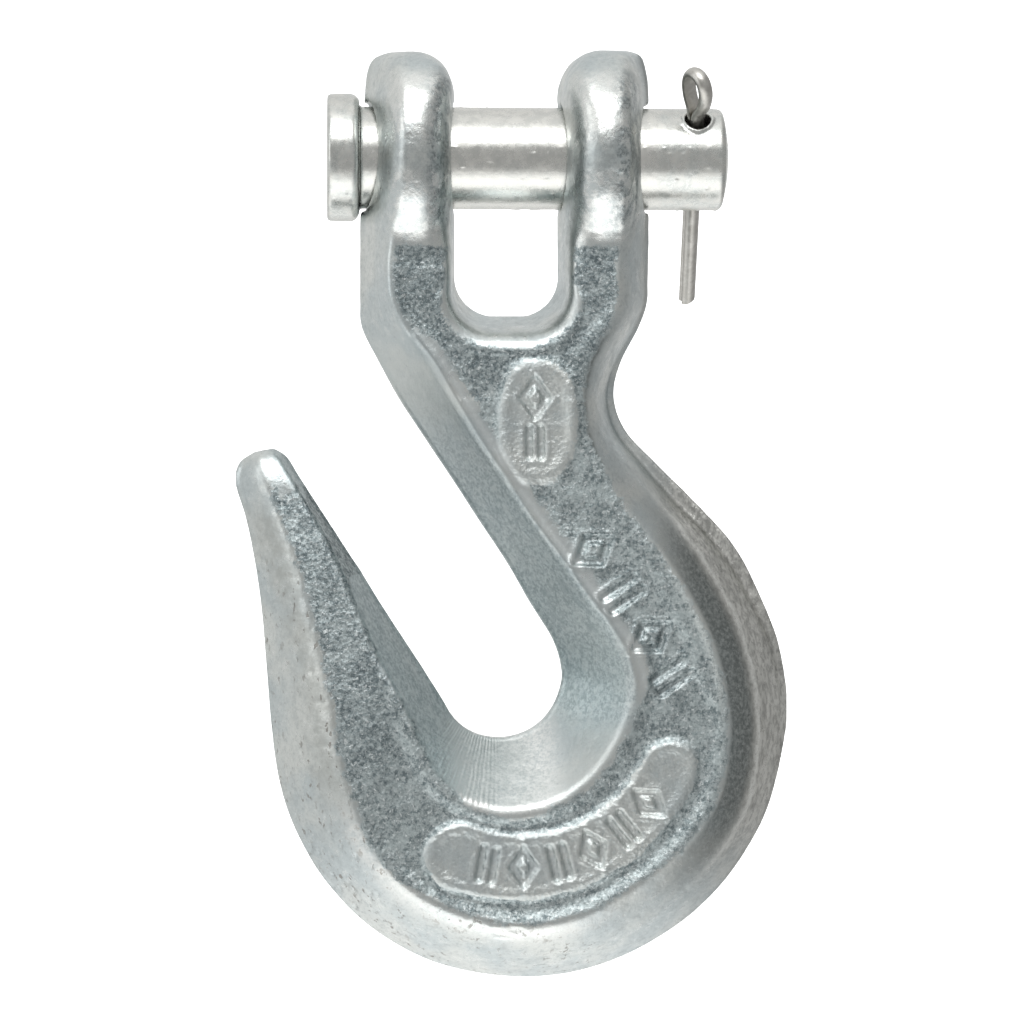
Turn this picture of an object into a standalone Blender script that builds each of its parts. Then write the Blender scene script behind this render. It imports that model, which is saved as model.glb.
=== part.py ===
"""Clevis grab hook for a 3/8 inch safety chain: a forged hook, its clevis pin and its cotter pin.

The frame is in metres with +Z up. The clevis pin lies along X and its axis crosses the origin midway
between the two ears, the bowl of the hook hangs below it, and the front of the forging faces -Y.
"""

import math

import bmesh
import bpy
from mathutils import Matrix, Vector

MM = 0.001

# Stations along the forging from the top of the ears, down the shank and round the bowl to the tip.
# Millimetres: x and z of the inner edge, x and z of the outer edge, the width of the slope that rises
# from each edge to the flat face, and the half thickness at the flat face.
STATIONS = (
    (-14.6, 13.1, 15.2, 13.6, 2.3, 2.5, 1.5),
    (-16.4, 12.4, 16.9, 12.9, 3.3, 4.0, 5.0),
    (-17.2, 11.2, 17.5, 11.2, 3.5, 4.3, 8.0),
    (-17.6, 9.0, 17.8, 9.0, 3.7, 4.6, 10.5),
    (-17.8, 5.5, 17.9, 5.5, 3.7, 4.7, 12.7),
    (-18.0, 0.0, 17.9, 0.0, 3.8, 4.8, 13.9),
    (-18.1, -5.5, 17.9, -5.5, 3.8, 4.8, 12.6),
    (-18.2, -10.0, 17.9, -10.0, 3.8, 4.8, 10.5),
    (-18.2, -14.0, 17.8, -14.0, 3.9, 4.7, 9.7),
    (-18.2, -18.0, 17.6, -18.0, 4.2, 4.4, 9.5),
    (-18.0, -21.2, 16.6, -21.0, 5.4, 4.2, 9.5),
    (-15.9, -25.5, 14.3, -25.5, 6.6, 4.4, 9.5),
    (-13.3, -30.2, 13.5, -29.8, 6.7, 4.5, 9.5),
    (-10.0, -35.2, 15.0, -34.0, 6.3, 5.6, 9.5),
    (-6.6, -40.2, 18.9, -38.2, 6.1, 7.9, 9.5),
    (-3.4, -45.2, 23.4, -42.7, 6.1, 10.2, 9.6),
    (-0.1, -50.2, 28.1, -47.7, 6.5, 10.8, 9.8),
    (2.8, -55.2, 31.4, -53.5, 7.2, 10.4, 10.0),
    (5.9, -60.2, 34.1, -60.2, 7.9, 10.0, 10.0),
    (7.0, -64.2, 35.3, -67.7, 8.5, 9.6, 10.0),
    (6.5, -67.0, 34.6, -74.5, 8.8, 8.7, 10.0),
    (5.2, -69.4, 32.2, -82.7, 8.9, 8.1, 10.0),
    (3.3, -71.1, 27.5, -90.3, 9.2, 8.3, 10.0),
    (1.2, -72.0, 20.5, -96.5, 9.6, 8.3, 10.0),
    (-1.0, -72.3, 11.5, -100.9, 9.6, 7.9, 10.0),
    (-3.2, -72.0, 1.8, -102.3, 9.4, 7.6, 10.0),
    (-5.2, -71.1, -8.5, -100.5, 8.8, 7.8, 10.0),
    (-6.8, -69.6, -16.5, -96.2, 7.8, 7.9, 10.0),
    (-7.9, -67.8, -22.3, -90.5, 6.7, 8.6, 9.8),
    (-9.2, -65.7, -26.2, -84.0, 5.7, 9.3, 9.5),
    (-10.9, -63.0, -28.3, -77.7, 5.1, 9.4, 9.1),
    (-13.1, -59.6, -29.3, -70.2, 4.7, 8.6, 8.4),
    (-15.7, -55.5, -29.8, -64.0, 4.0, 7.6, 7.6),
    (-18.5, -51.1, -30.4, -57.5, 3.0, 6.4, 6.7),
    (-21.3, -46.8, -31.3, -50.5, 2.1, 5.1, 5.7),
    (-23.7, -43.1, -32.4, -45.0, 1.7, 4.2, 4.8),
    (-25.8, -39.8, -33.7, -40.6, 1.6, 3.9, 4.0),
    (-27.4, -37.3, -33.2, -38.1, 1.5, 2.7, 2.9),
    (-29.0, -36.3, -31.3, -36.7, 0.7, 0.9, 1.5),
)
SPLITS = 2
LAND_HALF = 0.8 * MM
SLOPE_STEPS = 5
INNER_SLOPE_POWER = 1.35
OUTER_SLOPE_POWER = 1.7

# Clevis: a slot between two ears, which flares at the top, and a bore through both ears.
PIN_RADIUS = 6.35 * MM
BORE_RADIUS = 6.75 * MM
SLOT_HALF_WIDTH = 6.45 * MM
SLOT_FLOOR_Z = -19.7 * MM
SLOT_CORNER = 5.0 * MM
SLOT_FLARE_Z = 9.0 * MM
SLOT_FLARE = 3.4 * MM
SLOT_TOP_Z = 15.5 * MM
SLOT_SIDE_DRAFT = math.tan(math.radians(5.5))
SLOT_FLOOR_DRAFT = math.tan(math.radians(17.0))
CUTTER_HALF_DEPTH = 16.0 * MM

# Raised pads on the front face: an oval on the shank and a curved band along the bottom of the bowl.
PAD_HEIGHT = 0.35 * MM
PAD_BEVEL = 0.35 * MM
PAD_DEPTH = 1.5 * MM
OVAL_X, OVAL_Z = 3.4 * MM, -33.0 * MM
OVAL_HALF_WIDTH, OVAL_HALF_HEIGHT = 4.6 * MM, 7.6 * MM
OVAL_FACE_Y = -9.5 * MM
BAND_X, BAND_Z = 1.0 * MM, -67.4 * MM
BAND_RADIUS = 20.3 * MM
BAND_START, BAND_END = -111.0, -24.0
BAND_HALF_START, BAND_HALF_END = 3.9 * MM, 3.1 * MM
BAND_FACE_Y = -10.0 * MM

# Clevis pin: a plain headed pin with a cross hole near its free end.
HEAD_RADIUS = 7.95 * MM
HEAD_OUTER_X = -22.65 * MM
HEAD_INNER_X = -18.55 * MM
HEAD_ROUND = 0.8 * MM
PIN_END_X = 27.8 * MM
PIN_DOME = 0.9 * MM
PIN_CORNER = 0.5 * MM
TURNED_STEPS = 48

# Cotter pin: half-round wire folded into an eye and two legs, in a loose cross hole.
COTTER_X = 23.6 * MM
COTTER_HOLE_RADIUS = 1.85 * MM
PIN_TURN = math.radians(45.0)
COTTER_LEAN = math.radians(-2.3)
EYE_TURN = math.radians(-60.0)
WIRE_RADIUS = 0.9 * MM
LEG_HALF_GAP = 0.15 * MM
LONG_LEG = -23.9 * MM
SHORT_LEG = -23.1 * MM
EYE_NECK = 7.9 * MM
EYE_HALF_WIDTH = 2.6 * MM
EYE_CENTRE = 11.6 * MM
EYE_TOP = 14.1 * MM

SHARP_ANGLE = math.radians(28.0)
ZINC = (0.62, 0.65, 0.67, 1.0)
PIN_ZINC = (0.72, 0.72, 0.70, 1.0)
COTTER_ZINC = (0.60, 0.59, 0.56, 1.0)


def clear_scene():
    """Removes whatever objects the file opened with."""
    for old in list(bpy.data.objects):
        bpy.data.objects.remove(old, do_unlink=True)


def new_collection(name):
    """A collection of that name, linked to the scene."""
    collection = bpy.data.collections.new(name)
    bpy.context.scene.collection.children.link(collection)
    return collection


def metal(name, colour, roughness):
    """A plain metallic Principled material."""
    material = bpy.data.materials.new(name)
    material.use_nodes = True
    shader = material.node_tree.nodes["Principled BSDF"]
    shader.inputs["Base Color"].default_value = colour
    shader.inputs["Metallic"].default_value = 1.0
    shader.inputs["Roughness"].default_value = roughness
    return material


def place(name, mesh, collection):
    """An object of that name holding the mesh, in the collection."""
    piece = bpy.data.objects.new(name, mesh)
    collection.objects.link(piece)
    return piece


def loft(name, rings, collection):
    """A closed skin over rings of points that all have the same count, with a cap at each end."""
    shape = bmesh.new()
    loops = [[shape.verts.new(point) for point in ring] for ring in rings]
    count = len(rings[0])
    for near, far in zip(loops, loops[1:]):
        for i in range(count):
            j = (i + 1) % count
            shape.faces.new((near[i], near[j], far[j], far[i]))
    shape.faces.new(loops[0])
    shape.faces.new(list(reversed(loops[-1])))
    bmesh.ops.recalc_face_normals(shape, faces=shape.faces)
    mesh = bpy.data.meshes.new(name)
    shape.to_mesh(mesh)
    shape.free()
    return place(name, mesh, collection)


def turned(name, profile, collection):
    """A solid turned about the X axis from a profile of (x, radius) points that starts and ends on it."""
    mesh = bpy.data.meshes.new(name)
    edges = [(i, i + 1) for i in range(len(profile) - 1)]
    mesh.from_pydata([(x, 0.0, radius) for x, radius in profile], edges, [])
    piece = place(name, mesh, collection)
    screw = piece.modifiers.new("turned", "SCREW")
    screw.axis = "X"
    screw.steps = TURNED_STEPS
    screw.render_steps = TURNED_STEPS
    screw.use_merge_vertices = True
    screw.merge_threshold = 0.02 * MM
    screw.use_normal_calculate = True
    return piece


def rod(name, radius, length, matrix, collection):
    """A round cutter about its own Z axis, placed by the matrix."""
    shape = bmesh.new()
    bmesh.ops.create_cone(shape, cap_ends=True, segments=TURNED_STEPS, radius1=radius, radius2=radius,
                          depth=length, matrix=matrix)
    mesh = bpy.data.meshes.new(name)
    shape.to_mesh(mesh)
    shape.free()
    return place(name, mesh, collection)


def combine(target, tool, operation):
    """Cuts or joins the tool with an exact Boolean and hides the tool."""
    boolean = target.modifiers.new(tool.name, "BOOLEAN")
    boolean.operation = operation
    boolean.solver = "EXACT"
    boolean.object = tool
    tool.hide_render = True
    tool.display_type = "WIRE"


def apply_and_shade(piece, material, smooth_angle):
    """Bakes the piece's modifiers into its mesh, shades it smooth with sharp creases, gives it a metal."""
    graph = bpy.context.evaluated_depsgraph_get()
    mesh = bpy.data.meshes.new_from_object(piece.evaluated_get(graph))
    piece.modifiers.clear()
    piece.data = mesh
    mesh.name = piece.name
    mesh.polygons.foreach_set("use_smooth", [True] * len(mesh.polygons))
    mesh.set_sharp_from_angle(angle=smooth_angle)
    mesh.materials.clear()
    mesh.materials.append(material)


def catmull_rom(before, start, end, after, t):
    """The point at t between start and end on the smooth curve through all four rows of numbers."""
    row = []
    for a, b, c, d in zip(before, start, end, after):
        slope = (c - a) * t
        square = (2.0 * a - 5.0 * b + 4.0 * c - d) * t * t
        cube = (3.0 * b - a - 3.0 * c + d) * t * t * t
        row.append(b + 0.5 * (slope + square + cube))
    return row


def smooth_stations():
    """The stations with extra rows between them, on a smooth curve, in metres."""
    rows = []
    last = len(STATIONS) - 1
    for i in range(last):
        before = STATIONS[max(i - 1, 0)]
        after = STATIONS[min(i + 2, last)]
        for step in range(SPLITS):
            rows.append(catmull_rom(before, STATIONS[i], STATIONS[i + 1], after, step / SPLITS))
    rows.append(STATIONS[last])
    return [[value * MM for value in row] for row in rows]


def section(row):
    """The closed outline of the forging at one station, front half first."""
    inner = Vector((row[0], 0.0, row[1]))
    outer = Vector((row[2], 0.0, row[3]))
    across = (outer - inner).normalized()
    flat_inner = inner + across * row[4]
    flat_outer = outer - across * row[5]
    rise = row[6] - LAND_HALF
    half = []
    for step in range(SLOPE_STEPS + 1):
        t = step / SLOPE_STEPS
        height = LAND_HALF + rise * (1.0 - (1.0 - t) ** INNER_SLOPE_POWER)
        half.append((inner.lerp(flat_inner, t), height))
    half.append((flat_inner.lerp(flat_outer, 0.5), row[6]))
    for step in range(SLOPE_STEPS, -1, -1):
        t = step / SLOPE_STEPS
        height = LAND_HALF + rise * (1.0 - (1.0 - t) ** OUTER_SLOPE_POWER)
        half.append((outer.lerp(flat_outer, t), height))
    front = [point - Vector((0.0, height, 0.0)) for point, height in half]
    back = [point + Vector((0.0, height, 0.0)) for point, height in reversed(half)]
    return front + back


def slot_ring(y):
    """The outline of the clevis slot at that distance from the die line, wider the further out it is."""
    side = SLOT_HALF_WIDTH + abs(y) * SLOT_SIDE_DRAFT
    floor = SLOT_FLOOR_Z - abs(y) * SLOT_FLOOR_DRAFT
    half = [(side + SLOT_FLARE, SLOT_TOP_Z)]
    half.append((side + 0.30 * SLOT_FLARE, SLOT_FLARE_Z + 0.5 * (SLOT_TOP_Z - SLOT_FLARE_Z)))
    half.append((side, SLOT_FLARE_Z))
    for step in range(7):
        angle = math.radians(15.0 * step)
        x = side - SLOT_CORNER + SLOT_CORNER * math.cos(angle)
        half.append((x, floor + SLOT_CORNER - SLOT_CORNER * math.sin(angle)))
    points = half + [(-x, z) for x, z in reversed(half)]
    return [Vector((x, y, z)) for x, z in points]


def oval_ring(y, inset):
    """The outline of the oval pad at that depth, drawn in by the inset."""
    points = []
    for step in range(32):
        angle = math.radians(11.25 * step)
        x = OVAL_X + (OVAL_HALF_WIDTH - inset) * math.cos(angle)
        points.append(Vector((x, y, OVAL_Z + (OVAL_HALF_HEIGHT - inset) * math.sin(angle))))
    return points


def band_ring(y, inset):
    """The outline of the curved pad at that depth, drawn in by the inset: two arcs with round ends."""
    centre = Vector((BAND_X, y, BAND_Z))
    outer, inner = [], []
    steps = 16
    for step in range(steps + 1):
        t = step / steps
        angle = math.radians(BAND_START + (BAND_END - BAND_START) * t)
        half = BAND_HALF_START + (BAND_HALF_END - BAND_HALF_START) * t - inset
        along = Vector((math.cos(angle), 0.0, math.sin(angle)))
        outer.append(centre + along * (BAND_RADIUS + half))
        inner.append(centre + along * (BAND_RADIUS - half))
    return outer + round_end(outer[-1], inner[-1]) + inner[::-1] + round_end(inner[0], outer[0])


def round_end(start, end):
    """The points of a half circle that bulges to the right of the way from start to end."""
    middle = (start + end) / 2.0
    arm = start - middle
    points = []
    for step in range(1, 6):
        turn = Matrix.Rotation(math.radians(-30.0 * step), 3, "Y")
        points.append(middle + turn @ arm)
    return points


def pad(name, ring, face_y, cutters):
    """A pad that stands out of the front face, with a bevelled rim."""
    top = face_y - PAD_HEIGHT
    rings = [ring(face_y + PAD_DEPTH, 0.0), ring(face_y, 0.0)]
    rings.append(ring(top + 0.3 * PAD_HEIGHT, 0.3 * PAD_BEVEL))
    rings.append(ring(top, PAD_BEVEL))
    return loft(name, rings, cutters)


def make_hook(parts, cutters, material):
    """The forging, lofted through its stations, with its pads raised and its slot and bores cut."""
    hook = loft("hook_body", [section(row) for row in smooth_stations()], parts)
    slot = loft("slot_cutter", [slot_ring(y) for y in (-CUTTER_HALF_DEPTH, 0.0, CUTTER_HALF_DEPTH)], cutters)
    along_x = Matrix.Rotation(math.radians(90.0), 4, "Y")
    bore = rod("bore_cutter", BORE_RADIUS, 60.0 * MM, along_x, cutters)
    combine(hook, pad("oval_pad", oval_ring, OVAL_FACE_Y, cutters), "UNION")
    combine(hook, pad("band_pad", band_ring, BAND_FACE_Y, cutters), "UNION")
    combine(hook, slot, "DIFFERENCE")
    combine(hook, bore, "DIFFERENCE")
    apply_and_shade(hook, material, SHARP_ANGLE)
    return hook


def cotter_frame():
    """The cotter's own frame: Z along its axis towards the eye, X across the eye's loop."""
    lean = Matrix.Rotation(COTTER_LEAN, 4, "Y")
    turn = Matrix.Rotation(PIN_TURN, 4, "X")
    loop = Matrix.Rotation(EYE_TURN, 4, "Z")
    return Matrix.Translation((COTTER_X, 0.0, 0.0)) @ turn @ lean @ loop


def domed_end():
    """The profile of the pin's free end: a rounded corner, then a shallow dome down to the axis."""
    points = []
    for step in range(7):
        angle = math.radians(15.0 * step)
        radius = (PIN_RADIUS - PIN_CORNER) * math.cos(angle) + PIN_CORNER * (1.0 - step / 6.0)
        points.append((PIN_END_X - (PIN_DOME + PIN_CORNER) * (1.0 - math.sin(angle)), radius))
    return points


def make_pin(parts, cutters, material):
    """The clevis pin, turned about X, with its cross hole for the cotter."""
    profile = (
        (HEAD_OUTER_X, 0.0),
        (HEAD_OUTER_X, HEAD_RADIUS - HEAD_ROUND),
        (HEAD_OUTER_X + 0.3 * HEAD_ROUND, HEAD_RADIUS - 0.3 * HEAD_ROUND),
        (HEAD_OUTER_X + HEAD_ROUND, HEAD_RADIUS),
        (HEAD_INNER_X - HEAD_ROUND, HEAD_RADIUS),
        (HEAD_INNER_X - 0.3 * HEAD_ROUND, HEAD_RADIUS - 0.3 * HEAD_ROUND),
        (HEAD_INNER_X, HEAD_RADIUS - HEAD_ROUND),
        (HEAD_INNER_X, PIN_RADIUS),
        *domed_end(),
    )
    pin = turned("clevis_pin", profile, parts)
    matrix = Matrix.Translation((COTTER_X, 0.0, 0.0)) @ Matrix.Rotation(PIN_TURN, 4, "X")
    hole = rod("cotter_hole_cutter", COTTER_HOLE_RADIUS, 20.0 * MM, matrix, cutters)
    combine(pin, hole, "DIFFERENCE")
    apply_and_shade(pin, material, SHARP_ANGLE)
    return pin


def wire_profile(cutters):
    """The half-round cross-section of the cotter's wire, its flat side on the legs' meeting line."""
    curve = bpy.data.curves.new("wire_profile", "CURVE")
    spline = curve.splines.new("POLY")
    steps = 8
    spline.points.add(steps)
    for step, point in enumerate(spline.points):
        angle = math.radians(-90.0 + 180.0 * step / steps)
        point.co = (WIRE_RADIUS * math.cos(angle), WIRE_RADIUS * math.sin(angle), 0.0, 1.0)
    spline.use_cyclic_u = True
    return place("wire_profile", curve, cutters)


def make_cotter(parts, cutters, material):
    """The cotter pin: one wire that runs up one leg, round the eye and down the other leg."""
    curve = bpy.data.curves.new("cotter_path", "CURVE")
    curve.dimensions = "2D"
    curve.resolution_u = 6
    curve.bevel_mode = "OBJECT"
    curve.bevel_object = wire_profile(cutters)
    curve.use_fill_caps = True
    knots = (
        (LEG_HALF_GAP, LONG_LEG),
        (LEG_HALF_GAP, EYE_NECK - 1.2 * MM),
        (LEG_HALF_GAP + 0.25 * MM, EYE_NECK),
        (EYE_HALF_WIDTH - WIRE_RADIUS, EYE_CENTRE - 0.6 * MM),
        (0.0, EYE_TOP - WIRE_RADIUS),
        (-EYE_HALF_WIDTH + WIRE_RADIUS, EYE_CENTRE - 0.6 * MM),
        (-LEG_HALF_GAP - 0.25 * MM, EYE_NECK),
        (-LEG_HALF_GAP, EYE_NECK - 1.2 * MM),
        (-LEG_HALF_GAP, SHORT_LEG),
    )
    spline = curve.splines.new("BEZIER")
    spline.bezier_points.add(len(knots) - 1)
    for knot, point in zip(knots, spline.bezier_points):
        point.co = (knot[0], knot[1], 0.0)
        point.handle_left_type = "AUTO"
        point.handle_right_type = "AUTO"
    path = place("cotter_path", curve, cutters)
    graph = bpy.context.evaluated_depsgraph_get()
    mesh = bpy.data.meshes.new_from_object(path.evaluated_get(graph))
    upright = Matrix.Rotation(math.radians(90.0), 4, "X")
    mesh.transform(cotter_frame() @ upright)
    shape = bmesh.new()
    shape.from_mesh(mesh)
    bmesh.ops.remove_doubles(shape, verts=shape.verts, dist=0.01 * MM)
    bmesh.ops.recalc_face_normals(shape, faces=shape.faces)
    shape.to_mesh(mesh)
    shape.free()
    for helper in (path, curve.bevel_object):
        helper.hide_render = True
        helper.display_type = "WIRE"
    cotter = place("cotter_pin", mesh, parts)
    apply_and_shade(cotter, material, math.radians(50.0))
    return cotter


def put_on_joint(piece, matrix):
    """Moves the piece's origin onto its joint axis without moving its surface."""
    piece.data.transform(matrix.inverted())
    piece.matrix_world = matrix


clear_scene()
hook_parts = new_collection("clevis_grab_hook")
hook_cutters = new_collection("cutters")
hook_body = make_hook(hook_parts, hook_cutters, metal("forged_zinc", ZINC, 0.42))
clevis_pin = make_pin(hook_parts, hook_cutters, metal("pin_zinc", PIN_ZINC, 0.26))
cotter_pin = make_cotter(hook_parts, hook_cutters, metal("cotter_zinc", COTTER_ZINC, 0.34))
put_on_joint(cotter_pin, cotter_frame())
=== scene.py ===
"""Clevis grab hook: the fine surface of the forging, its pin and its cotter, with the studio round them."""

import math

import bpy
import numpy as np
import openvdb
from mathutils import Matrix, Vector


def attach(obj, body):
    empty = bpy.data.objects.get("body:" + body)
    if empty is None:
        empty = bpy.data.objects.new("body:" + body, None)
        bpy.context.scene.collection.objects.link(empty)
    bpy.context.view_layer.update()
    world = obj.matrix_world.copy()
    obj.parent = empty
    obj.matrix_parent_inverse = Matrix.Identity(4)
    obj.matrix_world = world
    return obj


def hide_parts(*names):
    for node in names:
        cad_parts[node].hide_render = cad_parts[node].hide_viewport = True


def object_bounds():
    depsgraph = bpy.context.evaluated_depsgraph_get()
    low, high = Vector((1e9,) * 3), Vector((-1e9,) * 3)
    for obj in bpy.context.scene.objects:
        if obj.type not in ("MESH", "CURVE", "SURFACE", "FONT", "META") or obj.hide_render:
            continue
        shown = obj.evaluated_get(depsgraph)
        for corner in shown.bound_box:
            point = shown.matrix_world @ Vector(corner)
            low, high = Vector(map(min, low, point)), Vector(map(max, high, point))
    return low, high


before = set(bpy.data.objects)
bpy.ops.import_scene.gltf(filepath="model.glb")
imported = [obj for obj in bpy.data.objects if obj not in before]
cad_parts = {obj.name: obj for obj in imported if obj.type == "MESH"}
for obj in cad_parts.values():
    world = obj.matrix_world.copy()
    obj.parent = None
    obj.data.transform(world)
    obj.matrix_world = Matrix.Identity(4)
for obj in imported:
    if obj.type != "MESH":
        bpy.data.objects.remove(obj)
cad_low, cad_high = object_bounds()
MM = 0.001

# Camera and studio, in millimetres.
AIM = (0.75, 0.0, -44.2)
CAMERA_DISTANCE = 450.0
CAMERA_AZIMUTH = math.radians(-3.5)
CAMERA_ELEVATION = math.radians(0.0)
FRAME_WIDTH = 128.1
SENSOR = 36.0
FLOOR_Z = -190.0

# The floor, its wall and the softboxes, in metres.
FLOOR_RADIUS = 0.9
FLOOR_CURVE = 0.6
WALL_TOP = 2.6
TOP_BOX = (-0.05, -0.42, 0.42)
LEFT_BOX = (-0.60, -0.30, 0.15)
LIGHT_TARGET = (0.0, 0.0, -0.045)

# How bright the tent is in front, and then towards other directions: the direction, how close to it the
# brightness starts and is complete (as a cosine), and the brightness itself.
TENT_FRONT = 0.46
TENT = (
    ((0.0, 0.0, 1.0), 0.38, 0.60, 0.97),
    ((0.0, 1.0, 0.0), 0.05, 0.50, 0.82),
    ((-1.0, 0.0, 0.0), 0.35, 0.80, 0.77),
    ((0.0, 0.0, -1.0), 0.45, 0.75, 1.20),
    ((-0.10, -0.45, -0.89), 0.88, 0.985, 1.75),
    ((-0.50, -0.48, -0.72), 0.955, 0.99, 1.5),
    ((-0.15, -0.60, 0.79), 0.90, 0.985, 2.0),
    ((1.0, 0.0, 0.0), 0.30, 0.80, 0.42),
)

# Stations along the forging, as in the CAD, with one more column: the width of the trimmed flash land
# that is left along the outer edge. Millimetres: inner edge x and z, outer edge x and z, slope widths
# at the inner and the outer edge, half thickness, flash land.
STATIONS = (
    (-14.6, 13.1, 15.2, 13.6, 2.3, 2.5, 1.5, 0.2),
    (-16.4, 12.4, 16.9, 12.9, 3.6, 3.8, 5.0, 0.3),
    (-17.2, 11.2, 17.5, 11.2, 4.2, 4.1, 8.0, 0.3),
    (-17.6, 9.0, 17.8, 9.0, 4.5, 4.2, 10.5, 0.3),
    (-17.8, 5.5, 17.9, 5.5, 4.7, 4.3, 12.7, 0.3),
    (-18.0, 0.0, 17.9, 0.0, 4.9, 4.3, 13.9, 0.3),
    (-18.1, -5.5, 17.9, -5.5, 4.7, 4.3, 12.75, 0.3),
    (-18.2, -8.4, 17.9, -8.4, 4.4, 4.3, 11.0, 0.3),
    (-18.2, -10.5, 17.9, -10.5, 4.1, 4.3, 9.5, 0.3),
    (-18.2, -12.4, 17.8, -12.4, 3.9, 4.4, 9.25, 0.3),
    (-18.2, -15.0, 17.7, -15.0, 3.9, 4.5, 9.45, 0.3),
    (-18.2, -18.0, 17.6, -18.0, 4.2, 4.4, 9.5, 0.3),
    (-18.0, -21.2, 16.6, -21.0, 5.4, 4.2, 9.5, 0.4),
    (-15.9, -25.5, 14.3, -25.5, 6.6, 4.4, 9.5, 0.5),
    (-13.3, -30.2, 13.5, -29.8, 6.7, 4.5, 9.5, 0.8),
    (-10.0, -35.2, 15.0, -34.0, 6.3, 5.6, 9.5, 1.2),
    (-6.6, -40.2, 18.9, -38.2, 6.1, 7.9, 9.5, 1.8),
    (-3.4, -45.2, 23.4, -42.7, 6.1, 10.2, 9.6, 2.2),
    (-0.1, -50.2, 28.1, -47.7, 6.5, 10.8, 9.8, 2.0),
    (2.8, -55.2, 31.4, -53.5, 7.2, 10.4, 10.0, 1.5),
    (5.9, -60.2, 34.1, -60.2, 7.9, 10.0, 10.0, 1.0),
    (7.0, -64.2, 35.3, -67.7, 8.5, 9.6, 10.0, 0.5),
    (6.5, -67.0, 34.6, -74.5, 8.8, 8.7, 10.0, 0.3),
    (5.2, -69.4, 32.2, -82.7, 8.9, 8.1, 10.0, 0.2),
    (3.3, -71.1, 27.5, -90.3, 9.2, 8.3, 10.0, 0.2),
    (1.2, -72.0, 20.5, -96.5, 9.6, 8.3, 10.0, 0.2),
    (-1.0, -72.3, 11.5, -100.9, 9.6, 7.9, 10.0, 0.2),
    (-3.2, -72.0, 1.8, -102.3, 9.4, 7.6, 10.0, 0.2),
    (-5.2, -71.1, -8.5, -100.5, 8.8, 7.8, 10.0, 0.2),
    (-6.8, -69.6, -16.5, -96.2, 7.8, 7.9, 10.0, 0.2),
    (-7.9, -67.8, -22.3, -90.5, 6.7, 8.6, 9.8, 0.2),
    (-9.2, -65.7, -26.2, -84.0, 5.7, 9.3, 9.5, 0.2),
    (-10.9, -63.0, -28.3, -77.7, 5.1, 9.4, 9.1, 0.2),
    (-13.1, -59.6, -29.3, -70.2, 4.7, 8.6, 8.4, 0.2),
    (-15.7, -55.5, -29.8, -64.0, 4.0, 7.6, 7.6, 0.2),
    (-18.5, -51.1, -30.4, -57.5, 3.0, 6.4, 6.7, 0.2),
    (-21.3, -46.8, -31.3, -50.5, 2.1, 5.1, 5.7, 0.2),
    (-23.7, -43.1, -32.4, -45.0, 1.7, 4.2, 4.8, 0.3),
    (-25.8, -39.8, -33.7, -40.6, 1.6, 3.9, 4.0, 0.5),
    (-27.4, -37.3, -33.2, -38.1, 1.5, 2.7, 2.9, 0.5),
    (-29.0, -36.3, -31.3, -36.7, 0.7, 0.9, 1.5, 0.3),
)
SPLITS = 14
LAND_HALF = 0.8
INNER_LAND = 0.25
BEVEL = 0.8
OUTER_POWER = 1.6
SLOPE_STEPS = 14
BEVEL_STEPS = 8
FACE_STEPS = 6
FORGING_VOXEL = 0.29

# The clevis slot and the bores.
SLOT_HALF_WIDTH = 6.45
SLOT_FLOOR = -19.7
SLOT_CORNER = 5.0
SLOT_SIDE_DRAFT = math.tan(math.radians(5.5))
SLOT_FLOOR_DRAFT = math.tan(math.radians(17.0))
SLOT_FLARE_Z = 7.6
SLOT_FLARE = 0.085
SLOT_ROUNDING = 2.4
EAR_ROUNDING = 4.4
EAR_BLEND = (-15.0, -8.0)
EAR_TOP = (3.0, 9.0)
EAR_CREST = (-11.2, 11.6)
EAR_RADIUS = 13.95
EAR_FOOT = -9.7
EAR_CROWN = 1.15
EAR_CROWN_WIDTH = 4.0
BORE_RADIUS = 6.75
BORE_ROUNDING = 0.3


def catmull_rom(rows, splits):
    """A smooth curve through the rows of numbers, with that many steps from each row to the next."""
    padded = np.vstack([rows[:1], rows, rows[-1:]])
    t = (np.arange(splits) / splits)[:, None]
    parts = []
    for i in range(len(rows) - 1):
        a, b, c, d = padded[i : i + 4]
        cubic = (3 * b - a - 3 * c + d) * t**3
        parts.append(b + 0.5 * ((c - a) * t + (2 * a - 5 * b + 4 * c - d) * t**2 + cubic))
    parts.append(rows[-1:])
    return np.vstack(parts)


def slope_profile(width, height, land):
    """Distance in from the edge and height above the die plane, from the edge up to the flat face.

    First the flash land, then a straight slope, then a bevel that ends level with the face."""
    bevel = np.minimum(BEVEL, 0.3 * width)
    foot = np.stack([land, np.full_like(land, LAND_HALF)])
    knee = np.stack([width - bevel, height])
    run = knee - foot
    length = np.linalg.norm(run, axis=0)
    start = knee - run / length * bevel
    points = [np.stack([np.zeros_like(land), np.zeros_like(land)])]
    points.append(np.stack([np.zeros_like(land), foot[1] * 0.8]))
    points.append(np.stack([land * 0.15, foot[1]]))
    for t in np.linspace(0.0, 1.0, SLOPE_STEPS):
        points.append(foot + (start - foot) * t)
    crest = np.stack([width, height])
    for t in np.linspace(0.0, 1.0, BEVEL_STEPS)[1:]:
        points.append(start * (1 - t) ** 2 + knee * 2 * t * (1 - t) + crest * t**2)
    return np.array(points)


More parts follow.
